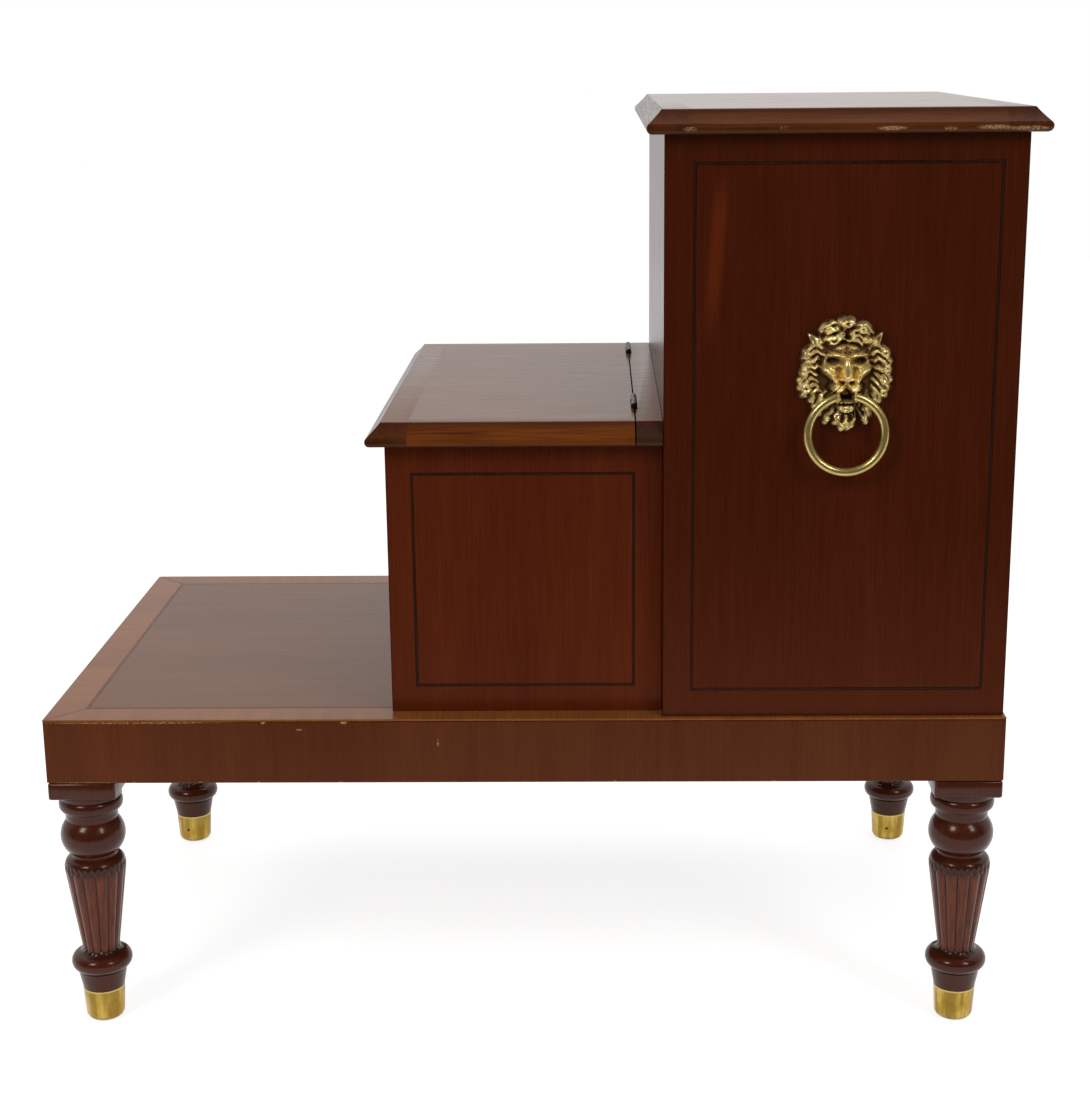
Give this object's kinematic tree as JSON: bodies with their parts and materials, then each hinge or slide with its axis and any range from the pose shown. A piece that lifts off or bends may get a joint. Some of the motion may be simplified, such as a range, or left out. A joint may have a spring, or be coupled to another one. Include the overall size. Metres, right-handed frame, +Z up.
{
  "type": "library stool",
  "caption": "Library steps on reeded turned legs: a low tread, a middle box with a hinged lid tread and a tall box with a lift-up top tread, with lion-mask ring handles.",
  "frame": {"origin": "on the floor under the middle of the bounding box", "axes": "+X towards the tall end, the way the steps are climbed; +Y towards the left side, away from the pictured side; +Z up"},
  "size_m": [0.6883, 0.412, 0.6575],
  "materials": {
    "mahogany": "french polished",
    "mahogany_turned": "french polished, dark",
    "mahogany_tread": "french polished",
    "lipping": "french polished",
    "stringing": "polished, ebonised",
    "carcass_wood": "unpolished",
    "brass": "lacquered, worn",
    "bronzed_steel": "bronzed"
  },
  "bodies": {
    "base": {"platform_board": "mahogany_tread", "platform_stringing": "stringing", "apron_front": "mahogany", "apron_left": "mahogany", "apron_rear": "mahogany", "apron_right": "mahogany", "crossband_front": "mahogany_tread", "crossband_left": "mahogany_tread", "crossband_rear": "mahogany_tread", "crossband_right": "mahogany_tread", "leg_front_left": "mahogany_turned", "leg_front_right": "mahogany_turned", "leg_rear_left": "mahogany_turned", "leg_rear_right": "mahogany_turned", "ferrule_front_left": "brass", "ferrule_front_right": "brass", "ferrule_rear_left": "brass", "ferrule_rear_right": "brass", "middle_box_front": "mahogany", "middle_box_left": "mahogany", "middle_box_right": "mahogany", "middle_box_floor": "carcass_wood", "middle_stringing_left": "stringing", "middle_stringing_right": "stringing", "middle_hinge_strip": "lipping", "middle_hinge_left_strip_leaf": "bronzed_steel", "middle_hinge_left_pin": "bronzed_steel", "middle_hinge_right_strip_leaf": "bronzed_steel", "middle_hinge_right_pin": "bronzed_steel", "tall_box_front": "mahogany", "tall_box_left": "mahogany", "tall_box_rear": "mahogany", "tall_box_right": "mahogany", "tall_box_floor": "carcass_wood", "tall_stringing_left": "stringing", "tall_stringing_right": "stringing", "top_hinge_left_case_leaf": "bronzed_steel", "top_hinge_left_pin": "bronzed_steel", "top_hinge_right_case_leaf": "bronzed_steel", "top_hinge_right_pin": "bronzed_steel", "lion_mask_left": "brass", "lion_mask_right": "brass", "mask_bolt_left": "brass", "mask_bolt_right": "brass"},
    "middle_lid": {"middle_lid_nosing": "lipping", "middle_lid_edge_left": "lipping", "middle_lid_edge_right": "lipping", "middle_lid_panel": "mahogany_tread", "middle_hinge_left_lid_leaf": "bronzed_steel", "middle_hinge_right_lid_leaf": "bronzed_steel"},
    "top_lid": {"top_lid_edge_front": "lipping", "top_lid_edge_left": "lipping", "top_lid_edge_rear": "lipping", "top_lid_edge_right": "lipping", "top_lid_panel": "mahogany_tread", "top_hinge_left_lid_leaf": "bronzed_steel", "top_hinge_right_lid_leaf": "bronzed_steel"},
    "ring_right": {"ring_right": "brass"},
    "ring_left": {"ring_left": "brass"}
  },
  "joints": [
    {"name": "middle_lid_hinge", "type": "hinge", "parent": "base", "child": "middle_lid", "pos_m": [0.07455, 0, 0.4521], "axis": [0, 1, 0], "range_deg": [0, 96]},
    {"name": "top_lid_hinge", "type": "hinge", "parent": "base", "child": "top_lid", "pos_m": [0.33465, 0, 0.64115], "axis": [0, 1, 0], "range_deg": [0, 100]},
    {"name": "ring_right_swing", "type": "hinge", "parent": "base", "child": "ring_right", "pos_m": [0.21445, -0.2005, 0.4693], "axis": [-1, 0, 0], "range_deg": [-3, 90]},
    {"name": "ring_left_swing", "type": "hinge", "parent": "base", "child": "ring_left", "pos_m": [0.21445, 0.2005, 0.4693], "axis": [1, 0, 0], "range_deg": [-3, 90]}
  ]
}
